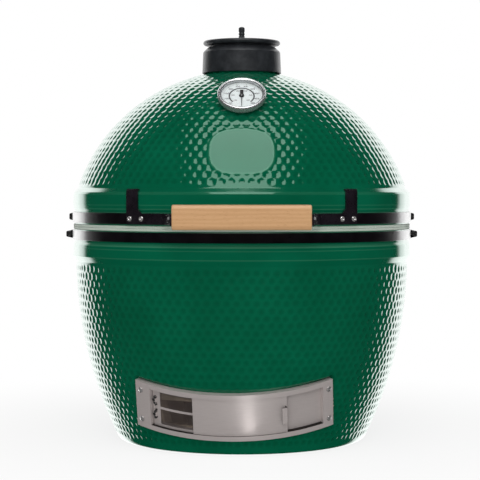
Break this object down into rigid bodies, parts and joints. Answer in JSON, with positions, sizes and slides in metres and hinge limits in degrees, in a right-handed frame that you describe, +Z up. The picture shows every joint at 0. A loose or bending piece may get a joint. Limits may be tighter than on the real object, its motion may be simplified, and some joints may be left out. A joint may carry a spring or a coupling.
{
  "type": "kamado ceramic grill",
  "caption": "Egg-shaped ceramic charcoal grill with a hinged dome, banded rims, wooden handle, dial thermometer, cast vent cap and sliding draft door.",
  "frame": {"origin": "centre of the flat foot face, on the grill's vertical axis", "axes": "+Z up, -Y towards the handle and draft door, +X to the right seen from the front"},
  "size_m": [0.718, 0.8114, 0.839],
  "materials": {
    "green_glaze": "glossy deep green glaze with a dimpled texture",
    "fired_clay": "unglazed fired clay",
    "felt": "grey-green wool felt",
    "black_band": "semi-gloss black powder coat",
    "black_bracket": "semi-gloss black powder coat",
    "zinc_fastener": "zinc plated steel",
    "black_fastener": "black oxide steel",
    "pin_steel": "turned steel",
    "spring_steel": "oiled spring steel",
    "bronze": "sintered bronze",
    "beech": "satin clear-coated hardwood",
    "cast_iron": "black enamelled cast iron",
    "raw_iron": "seasoned cast iron",
    "grid_steel": "stainless wire",
    "stainless": "brushed stainless sheet",
    "screen": "woven stainless mesh",
    "chrome": "polished",
    "dial_white": "white enamel with printed scale",
    "pointer_black": "matt black",
    "clear_glass": "clear"
  },
  "bodies": {
    "base": {"base_shell": "green_glaze", "fire_box_base": "fired_clay", "fire_box_segment_1": "fired_clay", "fire_box_segment_2": "fired_clay", "fire_box_segment_3": "fired_clay", "fire_box_segment_4": "fired_clay", "fire_box_segment_5": "fired_clay", "fire_ring": "fired_clay", "fire_grate": "raw_iron", "cooking_grid": "grid_steel", "base_gasket": "felt", "lower_band_front": "black_band", "lower_band_rear": "black_band", "lower_band_bolts": "black_fastener", "lower_band_nuts": "black_fastener", "hinge_base_bracket": "black_bracket", "hinge_base_screws": "zinc_fastener", "hinge_pin": "pin_steel", "hinge_pin_nuts": "zinc_fastener", "hinge_spring_left": "spring_steel", "hinge_spring_right": "spring_steel", "draft_frame": "stainless", "draft_screws": "zinc_fastener", "draft_anchors": "pin_steel"},
    "dome": {"dome_shell": "green_glaze", "dome_gasket": "felt", "upper_band_front": "black_band", "upper_band_rear": "black_band", "upper_band_bolts": "black_fastener", "upper_band_nuts": "black_fastener", "hinge_lid_bracket": "black_bracket", "hinge_lid_screws": "zinc_fastener", "hinge_bushes": "bronze", "handle_bracket_left": "black_bracket", "handle_bracket_right": "black_bracket", "handle_screws": "zinc_fastener", "handle_grip": "beech", "handle_lag_screws": "black_fastener", "cap_gasket": "felt", "thermometer_case": "chrome", "thermometer_bezel": "chrome", "thermometer_dial": "dial_white", "thermometer_lens": "clear_glass", "thermometer_stem": "pin_steel", "thermometer_nut": "zinc_fastener"},
    "vent_cap": {"cap_body": "cast_iron", "cap_pivot_screw": "black_fastener"},
    "vent_disc": {"cap_disc": "cast_iron", "cap_knob": "cast_iron"},
    "vent_wheel": {"daisy_wheel": "cast_iron"},
    "dial_hand": {"thermometer_pointer": "pointer_black"},
    "draft_slider": {"draft_door": "stainless"},
    "screen_slider": {"screen_door": "stainless", "screen_mesh": "screen"}
  },
  "joints": [
    {"name": "dome_hinge", "type": "hinge", "parent": "base", "child": "dome", "pos_m": [0, 0.38, 0.433], "axis": [-1, 0, 0], "range_deg": [0, 75], "stiffness_Nm_per_rad": 60, "springref_deg": 75, "deforming": ["hinge_spring_left", "hinge_spring_right"]},
    {"name": "vent_cap_lift", "type": "slide", "parent": "dome", "child": "vent_cap", "axis": [0, 0, 1], "range_m": [0, 0.06]},
    {"name": "vent_disc_swing", "type": "hinge", "parent": "vent_cap", "child": "vent_disc", "pos_m": [0, 0.058, 0.8], "axis": [0, 0, 1], "range_deg": [0, 110]},
    {"name": "vent_wheel_turn", "type": "hinge", "parent": "vent_disc", "child": "vent_wheel", "pos_m": [0, 0, 0.806], "axis": [0, 0, 1], "range_deg": [0, 36]},
    {"name": "thermometer_sweep", "type": "hinge", "parent": "dome", "child": "dial_hand", "pos_m": [0, -0.21489, 0.67705], "axis": [0, -0.682, 0.7314], "range_deg": [-330, 0]},
    {"name": "draft_door_slide", "type": "hinge", "parent": "base", "child": "draft_slider", "pos_m": [-0.00129, -0.01475, 0.17901], "axis": [-0.0305, -0.3489, 0.9367], "range_deg": [-16.5, 14.3]},
    {"name": "screen_door_slide", "type": "hinge", "parent": "base", "child": "screen_slider", "pos_m": [-0.00129, -0.01475, 0.17901], "axis": [-0.0305, -0.3489, 0.9367], "range_deg": [0, 32.3]}
  ]
}
